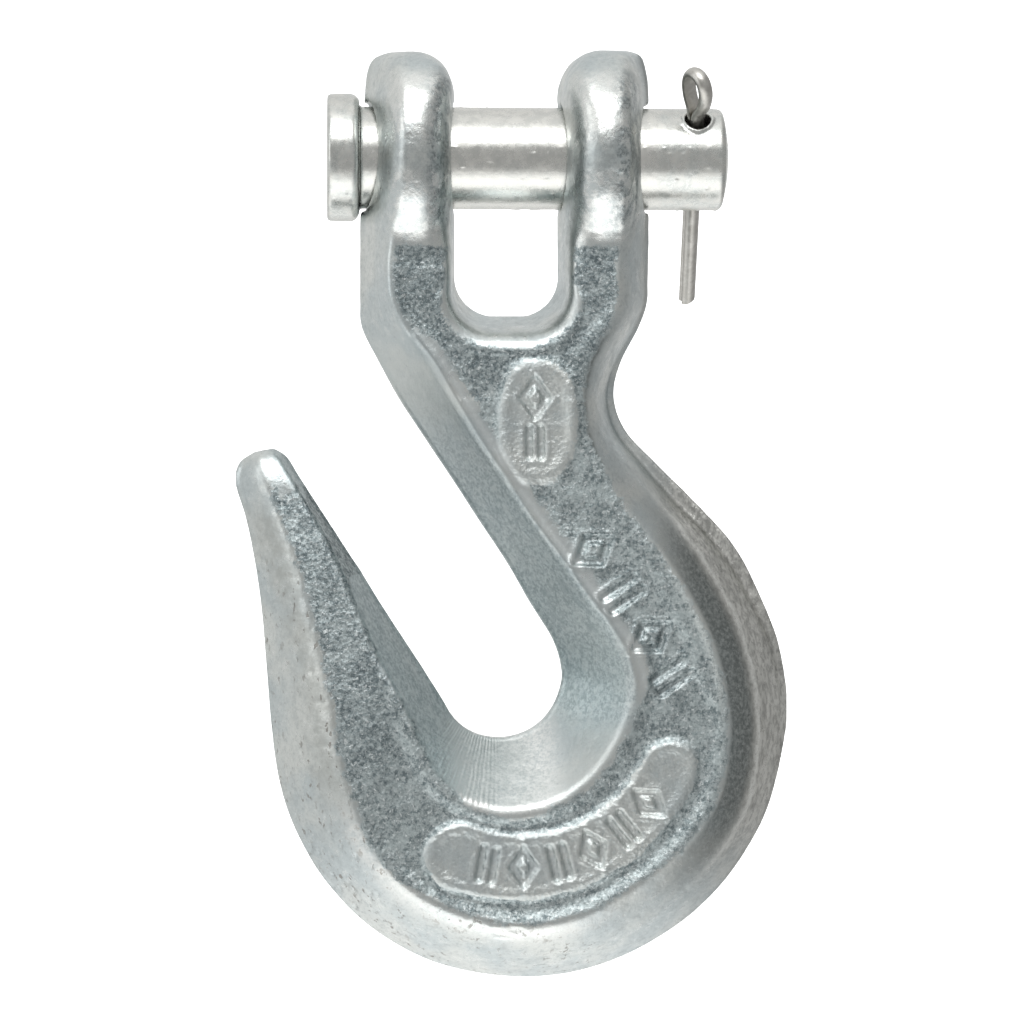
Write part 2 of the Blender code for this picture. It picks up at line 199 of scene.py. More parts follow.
def round_profile(width, height, land):
    """The same, for the outer edge: the flash land, then one round slope that ends level with the face."""
    points = [np.stack([np.zeros_like(land), np.zeros_like(land)])]
    points.append(np.stack([np.zeros_like(land), np.full_like(land, LAND_HALF * 0.8)]))
    points.append(np.stack([land * 0.15, np.full_like(land, LAND_HALF)]))
    for t in np.linspace(0.0, 1.0, SLOPE_STEPS + BEVEL_STEPS - 1):
        run = land + (width - land) * t
        rise = LAND_HALF + (height - LAND_HALF) * (1.0 - (1.0 - t) ** OUTER_POWER)
        points.append(np.stack([run, rise]))
    return np.array(points)


def forging_loft():
    """The forging's outside before the slot is cut: points (rows, round, 3) and its face's two edges."""
    rows = catmull_rom(np.array(STATIONS), SPLITS)
    inner, outer = rows[:, 0:2], rows[:, 2:4]
    across = outer - inner
    across /= np.linalg.norm(across, axis=1)[:, None]
    height = rows[:, 6]
    lands = np.full(len(rows), INNER_LAND)
    ear = smooth_step(EAR_BLEND[0], EAR_BLEND[1], inner[:, 1])
    near = slope_profile(rows[:, 4], height, lands)
    near = near + (round_profile(rows[:, 4], height, lands) - near) * ear
    far = round_profile(rows[:, 5], height, rows[:, 7])
    half = []
    for run, rise in near:
        half.append((inner + across * run[:, None], rise))
    face_inner = half[-1][0]
    face_outer = outer - across * far[-1][0][:, None]
    for t in np.linspace(0.0, 1.0, FACE_STEPS + 1)[1:-1]:
        half.append((face_inner + (face_outer - face_inner) * t, height))
    for run, rise in far[::-1]:
        half.append((outer - across * run[:, None], rise))
    front = [np.column_stack([p[:, 0], -h, p[:, 1]]) for p, h in half]
    back = [np.column_stack([p[:, 0], h, p[:, 1]]) for p, h in half[-2:0:-1]]
    return np.stack(front + back, axis=1), (face_inner, face_outer)


def loft_faces(rows, around):
    """Quads between the rings of a loft and triangles that fan over both ends, from two added points."""
    i, j = np.meshgrid(np.arange(rows - 1), np.arange(around), indexing="ij")
    k = (j + 1) % around
    quads = np.stack([i * around + j, i * around + k, (i + 1) * around + k, (i + 1) * around + j], -1)
    j = np.arange(around)
    k = (j + 1) % around
    first, last = rows * around, rows * around + 1
    start = np.column_stack([np.full(around, first), k, j])
    base = (rows - 1) * around
    end = np.column_stack([np.full(around, last), base + j, base + k])
    return quads.reshape(-1, 4), np.vstack([start, end])


def level_set(points, quads, triangles, voxel, half_width):
    """A signed distance grid, in millimetres, of a closed mesh."""
    transform = openvdb.createLinearTransform(voxelSize=voxel)
    return openvdb.FloatGrid.createLevelSetFromPolygons(
        points.astype(np.float32),
        triangles=triangles.astype(np.uint32),
        quads=quads.astype(np.uint32),
        transform=transform,
        halfWidth=half_width,
    )


def grid_block(low, high, voxel):
    """The integer corner of a block of voxels and the coordinates of its points, in millimetres."""
    corner = np.floor(np.array(low) / voxel).astype(int)
    count = np.ceil(np.array(high) / voxel).astype(int) - corner
    axes = [(corner[n] + np.arange(count[n])) * voxel for n in range(3)]
    return corner, np.meshgrid(*axes, indexing="ij")


def smooth_max(a, b, size):
    """The larger of two distances, blended over a band of that size."""
    blend = np.maximum(size - np.abs(a - b), 0.0) / size
    return np.maximum(a, b) + blend**2 * size / 4.0


def slot_distance(x, y, z):
    """Signed distance to the clevis slot: a drafted, round-cornered gap that flares at the top."""
    side = SLOT_HALF_WIDTH + np.abs(y) * SLOT_SIDE_DRAFT
    side = side + SLOT_FLARE * np.maximum(z - SLOT_FLARE_Z, 0.0) ** 2
    floor = SLOT_FLOOR - np.abs(y) * SLOT_FLOOR_DRAFT
    px = np.abs(x) - (side - SLOT_CORNER)
    pz = floor + SLOT_CORNER - z
    outside = np.hypot(np.maximum(px, 0.0), np.maximum(pz, 0.0))
    return outside + np.minimum(np.maximum(px, pz), 0.0) - SLOT_CORNER


def ear_distance(x, y, z):
    """Signed distance to the barrel-shaped fronts and backs of the ears, round the pin's axis."""
    crest = np.where(x < 0.0, EAR_CREST[0], EAR_CREST[1])
    crown = EAR_CROWN * ((x - crest) / EAR_CROWN_WIDTH) ** 2
    crown = crown * smooth_step(EAR_FOOT - 1.0, EAR_FOOT + 3.0, z)
    reach = np.hypot(y, np.maximum(z, EAR_FOOT))
    crown = np.minimum(crown, 2.5) * smooth_step(0.25, 0.85, np.abs(y) / reach)
    return reach - EAR_RADIUS + crown


def forging_surface():
    """Vertices and quads of the forging with its slot and bores, in millimetres, and the face's edges."""
    rings, edges = forging_loft()
    rows, around = rings.shape[:2]
    points = np.vstack([rings.reshape(-1, 3), rings[0].mean(0), rings[-1].mean(0)])
    quads, triangles = loft_faces(rows, around)
    grid = level_set(points, quads, triangles, FORGING_VOXEL, EAR_ROUNDING / FORGING_VOXEL + 1.0)
    corner, (x, y, z) = grid_block((-22.0, -17.0, -30.0), (22.0, 17.0, 18.0), FORGING_VOXEL)
    field = np.empty(x.shape, dtype=np.float32)
    grid.copyToArray(field, ijk=tuple(int(c) for c in corner))
    ear = smooth_step(EAR_BLEND[0], EAR_BLEND[1], z) * (1.0 - smooth_step(EAR_TOP[0], EAR_TOP[1], z))
    rounding = SLOT_ROUNDING + (EAR_ROUNDING - SLOT_ROUNDING) * ear
    field = smooth_max(field, ear_distance(x, y, z), 0.8)
    field = smooth_max(field, -slot_distance(x, y, z), rounding)
    field = smooth_max(field, BORE_RADIUS - np.hypot(y, z), BORE_ROUNDING)
    limit = 0.99 * grid.background
    grid.copyFromArray(np.clip(field, -limit, limit).astype(np.float32), ijk=tuple(int(c) for c in corner))
    vertices, faces = grid.convertToQuads(isovalue=0.0)
    return vertices.astype(np.float64), faces[:, ::-1], edges


def make_mesh(name, vertices, faces):
    """A smooth-shaded object from vertices in millimetres and faces of one size."""
    mesh = bpy.data.meshes.new(name)
    corners = faces.shape[1]
    mesh.vertices.add(len(vertices))
    mesh.vertices.foreach_set("co", (vertices * MM).astype(np.float32).ravel())
    mesh.loops.add(faces.size)
    mesh.loops.foreach_set("vertex_index", faces.astype(np.int32).ravel())
    mesh.polygons.add(len(faces))
    mesh.polygons.foreach_set("loop_start", np.arange(0, faces.size, corners, dtype=np.int32))
    mesh.polygons.foreach_set("use_smooth", np.ones(len(faces), dtype=bool))
    mesh.update(calc_edges=True)
    mesh.validate()
    piece = bpy.data.objects.new(name, mesh)
    bpy.context.scene.collection.objects.link(piece)
    return piece


def point_normals(vertices, faces):
    """Unit normals at the vertices of a quad mesh."""
    a, b, c, d = (vertices[faces[:, n]] for n in range(4))
    normal = np.cross(c - a, d - b)
    total = np.zeros_like(vertices)
    for n in range(4):
        for axis in range(3):
            total[:, axis] += np.bincount(faces[:, n], normal[:, axis], len(vertices))
    return total / np.maximum(np.linalg.norm(total, axis=1), 1e-12)[:, None]


def relax(vertices, faces, rounds, share):
    """Moves each vertex part of the way to the middle of its neighbours, in and out, without shrinking."""
    pairs = np.vstack([faces[:, [n, (n + 1) % 4]] for n in range(4)])
    count = np.bincount(pairs.ravel(), minlength=len(vertices))[:, None]
    for _ in range(rounds):
        for factor in (share, -share * 1.02):
            total = np.zeros_like(vertices)
            for axis in range(3):
                total[:, axis] += np.bincount(pairs[:, 0], vertices[pairs[:, 1], axis], len(vertices))
                total[:, axis] += np.bincount(pairs[:, 1], vertices[pairs[:, 0], axis], len(vertices))
            vertices = vertices + factor * (total / count - vertices)
    return vertices


def line_distance(x, z, line):
    """Distance from points to an open line in the front view."""
    best = np.full(len(x), 1e9)
    for (ax, az), (bx, bz) in zip(line[:-1], line[1:]):
        dx, dz = bx - ax, bz - az
        size = max(dx * dx + dz * dz, 1e-12)
        t = np.clip(((x - ax) * dx + (z - az) * dz) / size, 0.0, 1.0)
        best = np.minimum(best, (x - ax - t * dx) ** 2 + (z - az - t * dz) ** 2)
    return np.sqrt(best)


def inside_outline(x, z, outline):
    """True for the points inside a closed outline in the front view."""
    inside = np.zeros(len(x), dtype=bool)
    for (ax, az), (bx, bz) in zip(outline, np.roll(outline, -1, axis=0)):
        if az != bz:
            inside ^= ((az > z) != (bz > z)) & (x < ax + (z - az) * (bx - ax) / (bz - az))
    return inside


def smooth_step(low, high, value):
    """0 below low, 1 above high and a smooth rise between them."""
    t = np.clip((value - low) / (high - low), 0.0, 1.0)
    return t * t * (3.0 - 2.0 * t)


def value_noise(points, size, seed):
    """Smooth noise from -1 to 1 that varies over that size, the same on every run."""
    random = np.random.default_rng(seed)
    scaled = points / size + 1000.0
    cell = np.floor(scaled).astype(int)
    t = scaled - cell
    t = t * t * (3.0 - 2.0 * t)
    low = cell.min(axis=0)
    span = cell.max(axis=0) - low + 2
    lattice = random.uniform(-1.0, 1.0, size=tuple(span))
    cell = cell - low
    total = np.zeros(len(points))
    for i in (0, 1):
        for j in (0, 1):
            for k in (0, 1):
                weight = np.abs(1 - i - t[:, 0]) * np.abs(1 - j - t[:, 1]) * np.abs(1 - k - t[:, 2])
                total += weight * lattice[cell[:, 0] + i, cell[:, 1] + j, cell[:, 2] + k]
    return total


# Raised pads, stamped marks and the heights of the surface's relief, in millimetres.
OVAL_CENTRE = (3.4, -33.0)
OVAL_HALF = (4.9, 7.8)
BAND_CENTRE = (1.0, -67.4)
BAND_RADIUS = 20.3
BAND_ANGLES = (-111.0, -24.0)
BAND_HALF = (4.3, 3.5)
PAD_HEIGHT = 0.60
STAMP_DEPTH = 0.45
BURR_HEIGHT = 0.16
STROKE = 0.36
BAND_MARKS = 6
BAND_MARK_ANGLES = (-101.0, -38.0)
SIDE_MARKS = ((10.2, -48.9), (13.9, -54.2), (17.3, -59.5), (19.9, -64.4))
SIDE_MARK_TURN = math.radians(-56.0)
WEB_DEPTH = 0.62
BEAD_HEIGHT = 0.32
RIDGE_HEIGHT = 0.14
VALLEY_DEPTH = 0.14
SEAM_HEIGHT = 0.12
DISH_DEPTH = 0.22
DENT_DEPTH = 0.14
PIT_DEPTH = 0.11
STAIN_DEPTH = 0.10
PEEL_DEPTH = 0.06
WAVE_DEPTH = 0.06
GROOVE_DEPTH = 0.035
GROOVE_WAVES = 62.0
THROAT_CENTRE = (-1.0, -64.2)
BEVEL_BAND = 1.5


def oval_distance(x, z):
    """Distance inside the oval pad's rim."""
    across = (x - OVAL_CENTRE[0]) / OVAL_HALF[0]
    along = (z - OVAL_CENTRE[1]) / OVAL_HALF[1]
    return (1.0 - (np.abs(across) ** 2.4 + np.abs(along) ** 2.4) ** (1.0 / 2.4)) * OVAL_HALF[0]


def band_distance(x, z):
    """Distance inside the curved pad's rim: a band on an arc, with round ends."""
    dx, dz = x - BAND_CENTRE[0], z - BAND_CENTRE[1]
    angle = np.degrees(np.arctan2(dz, dx))
    share = (angle - BAND_ANGLES[0]) / (BAND_ANGLES[1] - BAND_ANGLES[0])
    near = np.clip(share, 0.0, 1.0)
    half = BAND_HALF[0] + (BAND_HALF[1] - BAND_HALF[0]) * near
    past = (share - near) * math.radians(BAND_ANGLES[1] - BAND_ANGLES[0]) * BAND_RADIUS
    return half - np.hypot(np.hypot(dx, dz) - BAND_RADIUS, past)


def lozenge(u, v, half):
    """Distance from the outline of an upright lozenge."""
    return np.abs(np.abs(u) / 0.72 + np.abs(v) - half) * 0.58


def bars(u, v, half):
    """Distance from two parallel bars."""
    return np.hypot(np.maximum(np.abs(v) - half, 0.0), np.abs(u) - 0.42 * half)


def stroke_distance(x, z, centre, turn, shape, half):
    """Distance from the strokes of one mark."""
    dx, dz = x - centre[0], z - centre[1]
    u = dx * math.cos(turn) + dz * math.sin(turn)
    v = dz * math.cos(turn) - dx * math.sin(turn)
    return shape(u, v, half)


def stamp_distance(x, z):
    """Distance from the strokes of all the stamped marks: lozenges and bars in place of lettering."""
    best = stroke_distance(x, z, (3.0, -30.2), 0.0, lozenge, 2.1)
    best = np.minimum(best, stroke_distance(x, z, (3.0, -35.6), 0.0, bars, 1.7))
    for n in range(BAND_MARKS):
        share = n / (BAND_MARKS - 1)
        angle = math.radians(BAND_MARK_ANGLES[0] + (BAND_MARK_ANGLES[1] - BAND_MARK_ANGLES[0]) * share)
        centre = (
            BAND_CENTRE[0] + BAND_RADIUS * math.cos(angle),
            BAND_CENTRE[1] + BAND_RADIUS * math.sin(angle),
        )
        shape = (bars, lozenge)[n % 2]
        best = np.minimum(best, stroke_distance(x, z, centre, angle + math.pi / 2.0, shape, 1.85))
    for n, centre in enumerate(SIDE_MARKS):
        shape = (lozenge, bars)[n % 2]
        best = np.minimum(best, stroke_distance(x, z, centre, SIDE_MARK_TURN, shape, 2.3))
    return best


def stamp_relief(x, z):
    """Stamped strokes with a low burr on both of their sides."""
    far = stamp_distance(x, z)
    stroke = 1.0 - smooth_step(STROKE * 0.5, STROKE * 2.0, far)
    burr = np.exp(-(((far - STROKE * 2.2) / (STROKE * 0.8)) ** 2))
    return BURR_HEIGHT * burr - STAMP_DEPTH * stroke


# The shares that the forging's material reads, in the order in which the mesh stores them.
SHARES = (
    "as_forged", "pads", "scale", "pits", "throat", "grooves", "knob_highlight", "shadow", "ridge",
    "tarnish_and_shade", "sooty", "floor", "crest", "seam", "rim", "band", "dull",
)


class Regions:
    """What each point of the forging belongs to. inner, outer, slot and pad are distances in from an edge, in
    millimetres. Everything else is a share from 0 to 1."""

    def __init__(self, points, edges):
        x, y, z = points.T
        inner, outer = edges[0][::2], edges[1][::2]
        inside = inside_outline(x, z, np.vstack([inner, outer[::-1]]))
        to_inner, to_outer = line_distance(x, z, inner), line_distance(x, z, outer)
        self.inner = np.where(inside | (to_outer < to_inner), to_inner, -to_inner)
        self.outer = np.where(inside | (to_inner < to_outer), to_outer, -to_outer)
        self.slot = slot_distance(x, y, z) - 0.5 - 0.7 * smooth_step(-16.5, -18.5, z)
        self.pad = np.maximum(oval_distance(x, z), band_distance(x, z))
        self.front = (y < -2.0) * 1.0
        ragged = 0.46 * value_noise(points, 1.7, 21) + 0.34 * value_noise(points, 0.7, 22)
        side = smooth_step(-8.0, -16.0, x) * smooth_step(-36.0, -40.0, z)
        rim = smooth_step(4.0, 14.0, x) * smooth_step(-92.0, -80.0, z) * smooth_step(-24.0, -32.0, z)
        ragged = ragged * (1.0 + 0.4 * side)
        shank = smooth_step(-70.0, -63.0, z) * smooth_step(19.0, 25.0, -z) * (x > -12.0)
        self.bevel = shank
        self.throat = smooth_step(-0.4, 0.4, -self.inner) * smooth_step(20.0, 24.0, -z)
        point = (x < -12.0) * smooth_step(-52.5, -51.5, z) * (z < -33.0)
        near_point = smooth_step(-3.0, -8.0, x) * smooth_step(-33.0, -36.0, z)
        inner_edge = self.inner - BEVEL_BAND * shank + 3.0 * point + 1.1 * near_point
        edge = np.minimum(np.minimum(inner_edge, self.outer + 0.3 * side + 0.7 * rim), self.slot)
        face = smooth_step(-0.45, 0.75, edge + ragged)
        face = face * (1.0 - smooth_step(-12.0, -10.9, z + 1.2 * ragged) * (x > -20.0))
        self.as_forged = face * (1.0 - smooth_step(-42.2, -40.8, z + 2.0 * ragged) * (x < -20.0))
        self.pads = smooth_step(-0.3, 0.4, self.pad + 0.6 * ragged) * self.front
        flank = smooth_step(15.0, 24.0, x) * smooth_step(-94.0, -78.0, z)
        self.scale = flank * smooth_step(1.2, 3.4, -self.outer)
        self.shadow = flank * smooth_step(0.5, 1.3, -self.outer) * (1.0 - smooth_step(3.3, 4.6, -self.outer))
        neck = smooth_step(8.0, 10.0, x) * smooth_step(-21.0, -24.0, z) * smooth_step(-42.0, -36.0, z)
        crease = neck * np.exp(-(((self.outer + 0.25 + 0.3 * ragged) / 0.3) ** 2))
        self.shadow = np.maximum(self.shadow, crease)
        self.band = shank * smooth_step(0.1, 0.5, self.inner)
        self.band = self.band * (1.0 - smooth_step(1.1, 1.7, self.inner + ragged))
        self.crest = flank * smooth_step(4.1, 4.9, -self.outer + 0.5 * ragged)
        # The trimmed flash seam on the right flank: raised in the relief and painted near white as a
        # highlight.
        self.seam = flank * np.exp(-(((self.outer + 4.7 + 0.4 * ragged) / 0.34) ** 2))
        # A rim along the face's outer edge at the lower left: painted lighter as a highlight, and given real
        # brown stains.
        low_left = smooth_step(-76.0, -84.0, z) * (1.0 - smooth_step(6.0, 16.0, x))
        self.rim = low_left * np.exp(-(((self.outer + 1.3) / 1.1) ** 2))
        upper = smooth_step(-42.0, -46.0, z) * smooth_step(-84.0, -76.0, z)
        upper = upper * smooth_step(-14.0, -18.0, x)
        self.dull = upper * np.exp(-(((self.outer + 1.8 + ragged) / 1.9) ** 2))
        # A thin line along the face's outer edge on the right flank: raised in the relief and painted lighter
        # as a highlight.
        self.ridge = flank * np.exp(-((self.outer / 0.42) ** 2)) * smooth_step(-72.0, -64.0, z)
        left = smooth_step(-1.0, 1.0, -self.outer) * (1.0 - smooth_step(6.0, 16.0, x))
        self.pits = left * smooth_step(-0.8, 0.0, value_noise(points, 5.0, 24)) * smooth_step(-46.0, -56.0, z)
        dx, dz = x - THROAT_CENTRE[0], z - THROAT_CENTRE[1]
        angle = np.degrees(np.arctan2(dz, dx))
        part = smooth_step(-148.0, -134.0, angle) * (1.0 - smooth_step(-102.0, -86.0, angle))
        part = part * (0.55 + 0.45 * value_noise(points, 2.5, 25)) * smooth_step(19.5, 17.5, np.hypot(dx, dz))
        self.grooves = part * self.throat * (1.0 - self.as_forged) * smooth_step(0.2, 1.4, -self.inner)
        off_crest = x - np.where(x < 0.0, EAR_CREST[0], EAR_CREST[1])
        # Spots on the ears' crests, above and below the pin, where a highlight is painted lighter into the
        # colour.
        ear = smooth_step(-11.8, -10.4, z) * smooth_step(4.0, 9.0, np.abs(y))
        low_spot = 1.0 - smooth_step(3.8, 5.6, np.abs(z + 7.3))
        top_spot = 1.0 - smooth_step(3.4, 5.4, np.abs(z - 5.2))
        near_crest = 1.0 - smooth_step(2.2, 4.0, np.abs(off_crest + 0.5))
        self.knob_highlight = ear * np.maximum(low_spot, top_spot) * near_crest
        # The ears' dark mottled patches are partly tarnish and partly painted shade: they lie on the sides
        # that face right, away from the light, and on a band at the pin's height that is a painted dark
        # reflection.
        middle = 1.0 - smooth_step(2.0, 5.0, np.abs(z + 1.2))
        reach = 1.0 - smooth_step(8.0, 11.0, z)
        side_and_middle_shade = np.clip(smooth_step(0.2, 2.4, off_crest) + 0.4 * middle, 0.0, 1.0)
        self.tarnish_and_shade = ear * smooth_step(-12.0, -7.5, z) * reach * side_and_middle_shade
        low = smooth_step(-10.0, -17.0, x) * smooth_step(-84.0, -74.0, z)
        self.sooty = np.clip(smooth_step(-36.0, -24.0, z) + low, 0.0, 1.0)
        # The throat's floor, where the material paints a highlight.
        floor = smooth_step(-9.0, -4.0, x) * (1.0 - smooth_step(4.0, 8.0, x)) * smooth_step(-66.0, -71.0, z)
        self.floor = floor * self.throat
        self.throat = self.throat * (1.0 - 0.7 * smooth_step(-9.0, -2.0, x) * smooth_step(-68.0, -72.0, z))
        self.throat = self.throat * (0.25 + 0.75 * smooth_step(-26.0, -42.0, z))


def forging_relief(points, regions):
    """How far each point of the forging stands out along its normal, in millimetres."""
    x, y, z = points.T
    side = smooth_step(-12.0, -18.0, x) * smooth_step(-86.0, -76.0, z)
    edge = np.minimum(np.minimum(regions.inner, regions.outer), regions.slot * 2.0)
    bowl = smooth_step(-50.0, -62.0, z)
    web = -WEB_DEPTH * (0.45 + 0.55 * bowl) * smooth_step(0.0, 2.0, edge - 1.2 * regions.bevel)
    web = web * (1.0 - smooth_step(-14.0, -10.0, z)) * (1.0 - 0.85 * side)
    bead = BEAD_HEIGHT * regions.bevel * np.exp(-((regions.inner / 0.48) ** 2))
    bead = bead + RIDGE_HEIGHT * regions.ridge
    web = web + bead - VALLEY_DEPTH * regions.shadow + SEAM_HEIGHT * regions.seam
    raised = PAD_HEIGHT * smooth_step(-0.6, 0.7, regions.pad) * regions.front
    dished = DISH_DEPTH * smooth_step(0.8, 2.0, regions.pad) * regions.front
    stamps = stamp_relief(x, z) * regions.front
    rough = 0.050 * value_noise(points, 2.6, 11) + 0.032 * value_noise(points, 1.2, 12)
    rough = rough + 0.020 * value_noise(points, 0.6, 13)
    peel = PEEL_DEPTH * value_noise(points * (1.0, 1.0, 0.45), 1.1, 17) * regions.scale
    wavy = WAVE_DEPTH * value_noise(points, 8.0, 14)
    dents = smooth_step(0.55, 0.9, value_noise(points, 1.0, 15)) * smooth_step(
        0.1, 0.5, value_noise(points, 8.0, 16)
    )
    marks = DENT_DEPTH * dents * (0.3 + 0.7 * regions.as_forged) * (1.0 - regions.throat)
    marks = marks + PIT_DEPTH * regions.pits * smooth_step(0.55, 0.8, value_noise(points, 0.9, 23))
    blotches = value_noise(points, 1.9, 41) + 0.5 * value_noise(points, 0.9, 42)
    marks = marks + STAIN_DEPTH * regions.tarnish_and_shade * smooth_step(-0.2, 0.4, blotches)
    angle = np.arctan2(z - THROAT_CENTRE[1], x - THROAT_CENTRE[0])
    grooves = GROOVE_DEPTH * regions.grooves * np.sin(angle * GROOVE_WAVES + 1.6 * np.sin(angle * 9.0))
    lift = rough * (0.3 + 0.7 * regions.as_forged) + peel + wavy + grooves - marks
    return web + raised - dished + stamps + lift


def add_share(piece, name, values):
    """Stores one number per vertex for the material to read."""
    attribute = piece.data.attributes.new(name, "FLOAT", "POINT")
    attribute.data.foreach_set("value", values.astype(np.float32))


def make_forging():
    """The forging as one fine mesh that stores, point by point, what the material has to know."""
    points, faces, edges = forging_surface()
    points = relax(points, faces, 3, 0.5)
    regions = Regions(points, edges)
    normals = point_normals(points, faces)
    points = points + normals * forging_relief(points, regions)[:, None]
    points = np.clip(points, np.array(cad_low) / MM + 0.02, np.array(cad_high) / MM - 0.02)
    piece = make_mesh("forging", points, faces)
    for name in SHARES:
        add_share(piece, name, getattr(regions, name))
    return piece


# The pin and the cotter, in millimetres. The head, the cross hole and the wire differ from the CAD by a
# few tenths, to match the photograph, and stay inside its box.
PIN_RADIUS = 6.35
HEAD_RADIUS = 7.95
HEAD_OUTER = -22.35
HEAD_INNER = -18.4
PIN_END = 27.8
PIN_DOME = 0.9
PIN_CORNER = 0.55
PIN_VOXEL = 0.17
HOLE_RADIUS = 1.6
COTTER_X = 23.6
PIN_TURN = math.radians(45.0)
COTTER_LEAN = math.radians(-2.3)
EYE_TURN = math.radians(-60.0)
WIRE_RADIUS = 1.0
LEG_GAP = 0.02
LONG_LEG = -23.15
SHORT_LEG = -23.0
EYE_NECK = 7.4
EYE_HALF_WIDTH = 2.55
EYE_CENTRE = 11.6
EYE_TOP = 14.1


def rounded_box_2d(u, v, centre, half, radius):
    """Signed distance to a rectangle with round corners."""
    du = np.abs(u - centre[0]) - half[0] + radius
    dv = np.abs(v - centre[1]) - half[1] + radius
    outside = np.hypot(np.maximum(du, 0.0), np.maximum(dv, 0.0))
    return outside + np.minimum(np.maximum(du, dv), 0.0) - radius


def hole_coordinates(x, y, z):
    """Coordinates about the cross hole: across it twice, and along it."""
    along = z * math.cos(PIN_TURN) - y * math.sin(PIN_TURN)
    across = y * math.cos(PIN_TURN) + z * math.sin(PIN_TURN)
    return x - COTTER_X, across, along


def pin_distance(x, y, z):
    """Signed distance to the clevis pin: a barrelled head, a shank with a domed end, and the cross hole."""
    r = np.hypot(y, z)
    middle = (HEAD_OUTER + HEAD_INNER) / 2.0
    barrel = 0.12 * ((x - middle) / 2.0) ** 2
    corner = np.where(x > middle, 1.0, 0.4)
    half = ((HEAD_INNER - HEAD_OUTER) / 2.0, HEAD_RADIUS)
    head = rounded_box_2d(x, r + barrel, (middle, 0.0), half, corner)
    dome = PIN_DOME * (r / PIN_RADIUS) ** 2
    start = HEAD_INNER - 1.0
    end = (PIN_END + start) / 2.0
    shank = rounded_box_2d(x + dome * (x > 20.0), r, (end, 0.0), (PIN_END - end, PIN_RADIUS), PIN_CORNER)
    body = -smooth_max(-head, -shank, 0.5)
    u, v, w = hole_coordinates(x, y, z)
    hole = np.hypot(u, v)
    wobble = 0.10 * np.sin(3.0 * np.arctan2(v, u) + 0.6) + 0.03 * np.sin(7.0 * np.arctan2(v, u))
    rim = np.hypot(hole - (HOLE_RADIUS + 0.18 + wobble), (r - PIN_RADIUS) - 0.02) - 0.26
    body = -smooth_max(-body, -rim, 0.25)
    return smooth_max(body, HOLE_RADIUS - hole, 0.2)


def make_pin():
    """The clevis pin as one fine mesh."""
    corner, (x, y, z) = grid_block((-24.0, -9.0, -9.0), (29.0, 9.0, 9.0), PIN_VOXEL)
    field = pin_distance(x, y, z)
    limit = 3.0 * PIN_VOXEL
    grid = openvdb.FloatGrid(limit)
    grid.transform = openvdb.createLinearTransform(voxelSize=PIN_VOXEL)
    field = np.clip(field, -0.99 * limit, limit).astype(np.float32)
    grid.copyFromArray(field, ijk=tuple(int(c) for c in corner))
    points, faces = grid.convertToQuads(isovalue=0.0)
    points, faces = relax(points.astype(np.float64), faces, 2, 0.5), faces[:, ::-1]
    normals = point_normals(points, faces)
    fine = 0.006 * value_noise(points, 1.2, 31) + 0.006 * value_noise(points, 0.5, 32)
    dents = -0.06 * smooth_step(0.66, 0.95, value_noise(points, 0.8, 33))
    points = points + normals * (fine + dents)[:, None]
    return make_mesh("pin", points, faces)


def cotter_path():
    """The line of the wire's flat side, up one leg, round the eye and down the other leg."""
    waist = EYE_HALF_WIDTH - WIRE_RADIUS
    top = EYE_TOP - WIRE_RADIUS
    knots = [
        (LEG_GAP, EYE_NECK - 1.4),
        (LEG_GAP + 0.04, EYE_NECK - 0.6),
        (0.42, EYE_NECK + 0.7),
        (waist * 0.82, EYE_CENTRE - 1.9),
        (waist, EYE_CENTRE - 0.2),
        (waist * 0.66, top - 0.42),
        (0.0, top),
    ]
    right = [(LEG_GAP, LONG_LEG + n * (EYE_NECK - 1.6 - LONG_LEG) / 8.0) for n in range(8)] + knots
    left = [(-LEG_GAP, SHORT_LEG + n * (EYE_NECK - 1.6 - SHORT_LEG) / 8.0) for n in range(8)]
    left += [(-u, w) for u, w in knots[:-1]]
    return catmull_rom(np.array(right + left[::-1]), 7)


def wire_section(steps):
    """The half-round section of the wire: out from the flat side, and across it, with eased corners."""
    angles = np.linspace(-0.5 * np.pi, 0.5 * np.pi, steps)
    out = WIRE_RADIUS * np.cos(angles) ** 0.85
    across = WIRE_RADIUS * np.sin(angles)
    flat = np.linspace(0.86, -0.86, 7) * WIRE_RADIUS
    out = np.concatenate([out[1:-1], np.zeros(7)])
    across = np.concatenate([across[1:-1], flat])
    return out, across


def make_cotter():
    """The cotter as one swept wire, in the place that its leaning axis gives it."""
    path = cotter_path()
    along = np.gradient(path, axis=0)
    along /= np.linalg.norm(along, axis=1)[:, None]
    out, across = wire_section(17)
    side = np.column_stack([along[:, 1], -along[:, 0]])
    u = path[:, 0, None] + side[:, 0, None] * out
    w = path[:, 1, None] + side[:, 1, None] * out
    v = np.broadcast_to(across, u.shape).copy()
    w[0] += 0.35 * (v[0] / WIRE_RADIUS)
    w[-1] += 0.35 * (v[-1] / WIRE_RADIUS)
    rings = np.stack([u, v, w], axis=-1)
    rows, around = rings.shape[:2]
    points = np.vstack([rings.reshape(-1, 3), rings[0].mean(0), rings[-1].mean(0)])
    quads, triangles = loft_faces(rows, around)
    piece = make_mixed_mesh("cotter", points, quads, triangles)
    lean = Matrix.Rotation(COTTER_LEAN, 4, "Y")
    turn = Matrix.Rotation(PIN_TURN, 4, "X")
    loop = Matrix.Rotation(EYE_TURN, 4, "Z")
    piece.data.transform(Matrix.Translation((COTTER_X * MM, 0.0, 0.0)) @ turn @ lean @ loop)
    piece.data.set_sharp_from_angle(angle=math.radians(50.0))
    return piece


